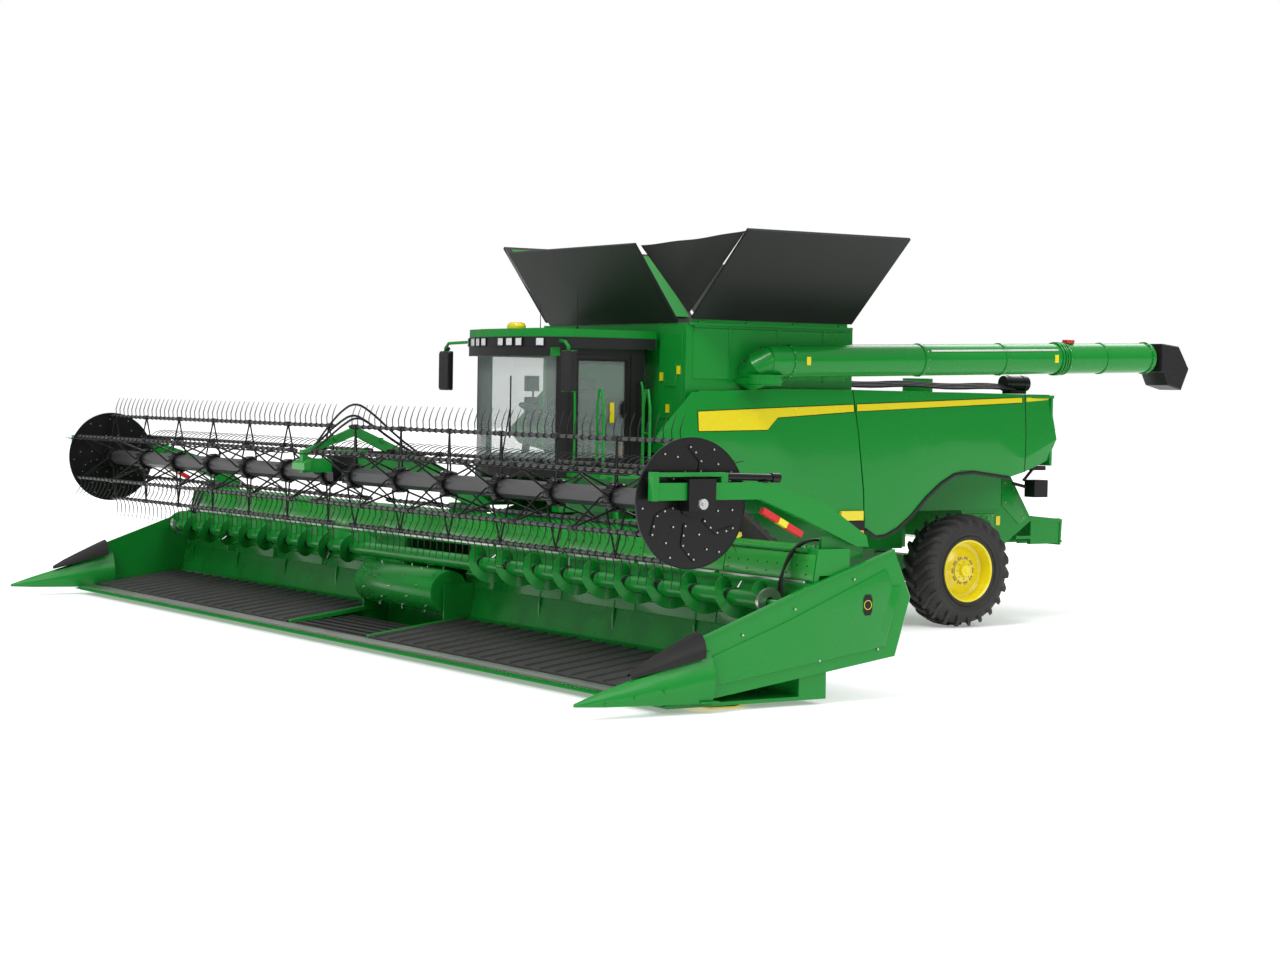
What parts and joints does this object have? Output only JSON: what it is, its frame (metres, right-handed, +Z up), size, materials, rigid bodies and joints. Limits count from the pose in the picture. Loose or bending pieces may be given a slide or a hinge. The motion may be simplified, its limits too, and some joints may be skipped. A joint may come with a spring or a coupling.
{
  "type": "combine harvester with tracks and a wide draper header",
  "caption": "Tracked combine harvester with a wide draper header, two-section reel, open grain tank, folding unloading auger, cab, steered rear wheels and hinged side shields.",
  "frame": {"origin": "middle of the whole machine's box, on the ground", "axes": "+X the machine's left, -Y forwards, +Z up"},
  "size_m": [14.8794, 12.87, 4.827],
  "materials": {
    "green": "glossy green paint",
    "yellow": "glossy yellow paint",
    "black_paint": "satin black paint",
    "black_plastic": "grained",
    "tyre": "ribbed rubber",
    "rubber": "matt",
    "glass": "clear",
    "fabric": "coated cloth",
    "seat_fabric": "woven",
    "dark_metal": "dark grey enamel"
  },
  "bodies": {
    "chassis": {"separator_body": "green", "engine_block": "dark_metal", "rear_hood": "green", "grain_tank": "green", "left_front_fabric": "fabric", "left_rear_fabric": "fabric", "right_front_fabric": "fabric", "right_rear_fabric": "fabric", "cab_shell": "black_plastic", "windscreen": "glass", "right_cab_window": "glass", "cab_roof": "green", "cab_seat": "seat_fabric", "steering_column": "black_plastic", "cab_platform": "green", "left_track": "rubber", "right_track": "rubber", "left_track_frame": "yellow", "right_track_frame": "yellow", "front_axle": "green", "rear_axle": "green", "residue_housing": "green"},
    "left_cover": {"left_tank_cover": "black_paint"},
    "right_cover": {"right_tank_cover": "black_paint"},
    "front_cover": {"front_tank_cover": "black_paint"},
    "rear_cover": {"rear_tank_cover": "black_paint"},
    "left_front_shield": {"left_front_shield_panel": "green"},
    "left_rear_shield": {"left_rear_shield_panel": "green"},
    "right_front_shield": {"right_front_shield_panel": "green"},
    "right_rear_shield": {"right_rear_shield_panel": "green"},
    "cab_door": {"cab_door_frame": "black_plastic", "cab_door_glass": "glass"},
    "ladder": {"ladder_steps": "green"},
    "left_knuckle": {"left_steering_knuckle": "green"},
    "right_knuckle": {"right_steering_knuckle": "green"},
    "left_rear_wheel": {"left_rear_tyre": "tyre", "left_rear_rim": "yellow"},
    "right_rear_wheel": {"right_rear_tyre": "tyre", "right_rear_rim": "yellow"},
    "tailboard": {"tailboard_tray": "green"},
    "feeder": {"feeder_house": "green"},
    "header": {"header_frame": "green", "draper_deck": "rubber", "left_end_sheet": "green", "right_end_sheet": "green"},
    "cross_auger": {"cross_auger_screw": "green"},
    "feed_drum": {"feed_drum_body": "green"},
    "reel_arms": {"left_reel_arm": "green", "center_reel_arm": "green", "right_reel_arm": "green"},
    "reel_slide": {"left_reel_slide": "black_paint", "center_reel_slide": "black_paint", "right_reel_slide": "black_paint"},
    "reel": {"left_reel_section": "black_paint", "right_reel_section": "black_paint"},
    "auger": {"unloading_auger": "green"},
    "auger_end": {"auger_end_tube": "green"},
    "spout": {"auger_spout": "black_plastic"}
  },
  "joints": [
    {"name": "feeder_lift", "type": "hinge", "parent": "chassis", "child": "feeder", "pos_m": [0, -1.605, 1.6], "axis": [-1, 0, 0], "range_deg": [0, 10]},
    {"name": "header_tilt", "type": "hinge", "parent": "feeder", "child": "header", "pos_m": [0, -3.275, 0.78], "axis": [0, 1, 0], "range_deg": [-3, 3]},
    {"name": "reel_lift", "type": "hinge", "parent": "header", "child": "reel_arms", "pos_m": [0, -3.175, 1.52], "axis": [-1, 0, 0], "range_deg": [-20, 8]},
    {"name": "reel_fore_aft", "type": "slide", "parent": "reel_arms", "child": "reel_slide", "axis": [0, -1, 0], "range_m": [-0.08, 0.3]},
    {"name": "reel_spin", "type": "hinge", "parent": "reel_slide", "child": "reel", "pos_m": [0, -5.065, 1.915], "axis": [1, 0, 0], "continuous": true},
    {"name": "cross_auger_spin", "type": "hinge", "parent": "header", "child": "cross_auger", "pos_m": [0, -4.075, 0.96], "axis": [1, 0, 0], "continuous": true},
    {"name": "feed_drum_spin", "type": "hinge", "parent": "header", "child": "feed_drum", "pos_m": [0, -4.155, 0.6], "axis": [1, 0, 0], "continuous": true},
    {"name": "left_steer", "type": "hinge", "parent": "chassis", "child": "left_knuckle", "pos_m": [1.32, 2.875, 0.72], "axis": [0, 0, 1], "range_deg": [-35, 35]},
    {"name": "right_steer", "type": "hinge", "parent": "chassis", "child": "right_knuckle", "pos_m": [-1.32, 2.875, 0.72], "axis": [0, 0, 1], "range_deg": [-35, 35]},
    {"name": "left_wheel_spin", "type": "hinge", "parent": "left_knuckle", "child": "left_rear_wheel", "pos_m": [1.62, 2.875, 0.72], "axis": [1, 0, 0], "continuous": true},
    {"name": "right_wheel_spin", "type": "hinge", "parent": "right_knuckle", "child": "right_rear_wheel", "pos_m": [-1.62, 2.875, 0.72], "axis": [1, 0, 0], "continuous": true},
    {"name": "auger_swing", "type": "hinge", "parent": "chassis", "child": "auger", "pos_m": [1.95, -0.455, 3.12], "axis": [0, 0, -1], "range_deg": [0, 100]},
    {"name": "auger_fold", "type": "hinge", "parent": "auger", "child": "auger_end", "pos_m": [1.703, 4.24, 3.44], "axis": [0, 0, 1], "range_deg": [0, 90]},
    {"name": "spout_tilt", "type": "hinge", "parent": "auger_end", "child": "spout", "pos_m": [1.95, 5.815, 3.4893], "axis": [1, 0, 0], "range_deg": [-20, 20]},
    {"name": "left_cover_close", "type": "hinge", "parent": "chassis", "child": "left_cover", "pos_m": [1.64, -0.125, 3.83], "axis": [0, -1, 0], "range_deg": [0, 138], "deforming": ["left_front_fabric", "left_rear_fabric"]},
    {"name": "right_cover_close", "type": "hinge", "parent": "chassis", "child": "right_cover", "pos_m": [-1.64, -0.125, 3.83], "axis": [0, 1, 0], "range_deg": [0, 138], "deforming": ["right_front_fabric", "right_rear_fabric"]},
    {"name": "front_cover_close", "type": "hinge", "parent": "chassis", "child": "front_cover", "pos_m": [0, -1.365, 3.78], "axis": [-1, 0, 0], "range_deg": [0, 125]},
    {"name": "rear_cover_close", "type": "hinge", "parent": "chassis", "child": "rear_cover", "pos_m": [0, 1.115, 3.78], "axis": [1, 0, 0], "range_deg": [0, 125]},
    {"name": "cab_door_open", "type": "hinge", "parent": "chassis", "child": "cab_door", "pos_m": [0.99, -1.745, 2.7], "axis": [0, 0, 1], "range_deg": [0, 65]},
    {"name": "ladder_swing", "type": "hinge", "parent": "chassis", "child": "ladder", "pos_m": [1.7755, -2.005, 1.8], "axis": [0, 0, 1], "range_deg": [0, 90]},
    {"name": "left_front_shield_open", "type": "hinge", "parent": "chassis", "child": "left_front_shield", "pos_m": [1.69, -0.325, 3], "axis": [0, -1, 0], "range_deg": [0, 65]},
    {"name": "left_rear_shield_open", "type": "hinge", "parent": "chassis", "child": "left_rear_shield", "pos_m": [1.69, 2.875, 3], "axis": [0, -1, 0], "range_deg": [0, 65]},
    {"name": "right_front_shield_open", "type": "hinge", "parent": "chassis", "child": "right_front_shield", "pos_m": [-1.69, -0.325, 3], "axis": [0, 1, 0], "range_deg": [0, 65]},
    {"name": "right_rear_shield_open", "type": "hinge", "parent": "chassis", "child": "right_rear_shield", "pos_m": [-1.69, 2.875, 3], "axis": [0, 1, 0], "range_deg": [0, 65]},
    {"name": "tailboard_lift", "type": "hinge", "parent": "chassis", "child": "tailboard", "pos_m": [0, 4.7495, 1.3], "axis": [1, 0, 0], "range_deg": [0, 35]}
  ],
  "couplings": [
    {"joint": "right_steer", "follows": "left_steer", "ratio": 1}
  ]
}
